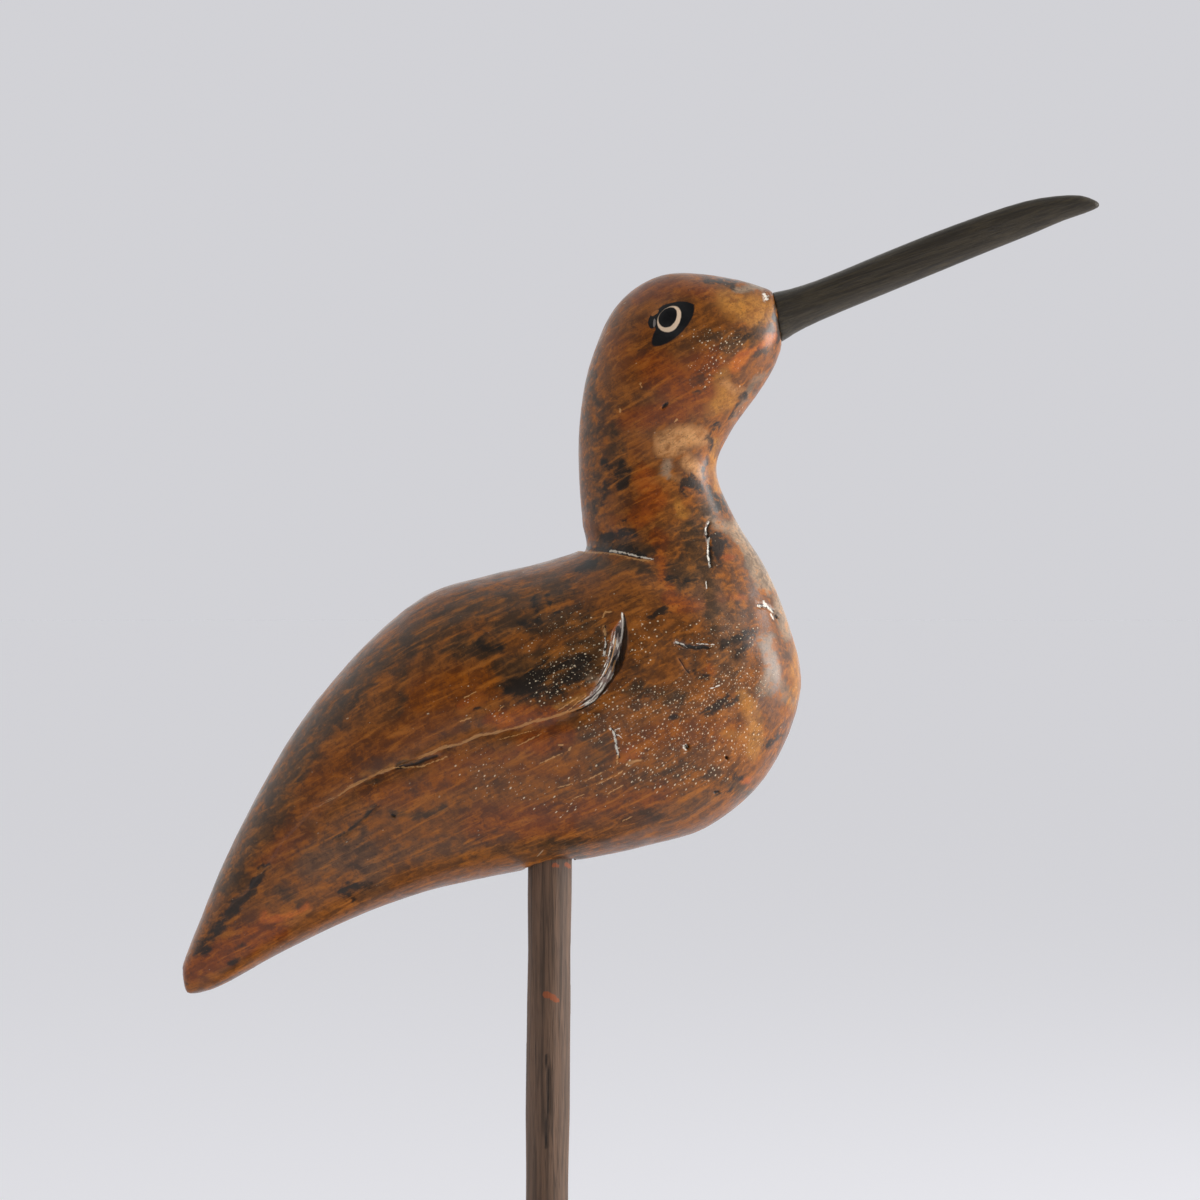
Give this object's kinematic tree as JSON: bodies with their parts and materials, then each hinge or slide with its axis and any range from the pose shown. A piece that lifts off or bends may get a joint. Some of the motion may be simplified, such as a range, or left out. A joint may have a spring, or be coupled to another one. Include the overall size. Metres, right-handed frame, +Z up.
{
  "type": "wooden bird figurine",
  "caption": "Carved wooden shorebird with a long dark bill and raised head, held by a whittled stick in a low wooden block.",
  "frame": {"origin": "middle of the block's underside, below the foot of the stick", "axes": "+X the way the bird faces, +Z up, +Y to the bird's left"},
  "size_m": [0.2567, 0.092, 0.3589],
  "materials": {
    "stained_wood": "stained in patches and varnished, worn",
    "dark_wood": "nearly black stain, satin",
    "stick_wood": "bare aged wood, matt",
    "block_wood": "stained and waxed, satin"
  },
  "bodies": {
    "root": {"carved_bird": "stained_wood", "bill": "dark_wood", "stick": "stick_wood", "block": "block_wood"}
  },
  "joints": []
}
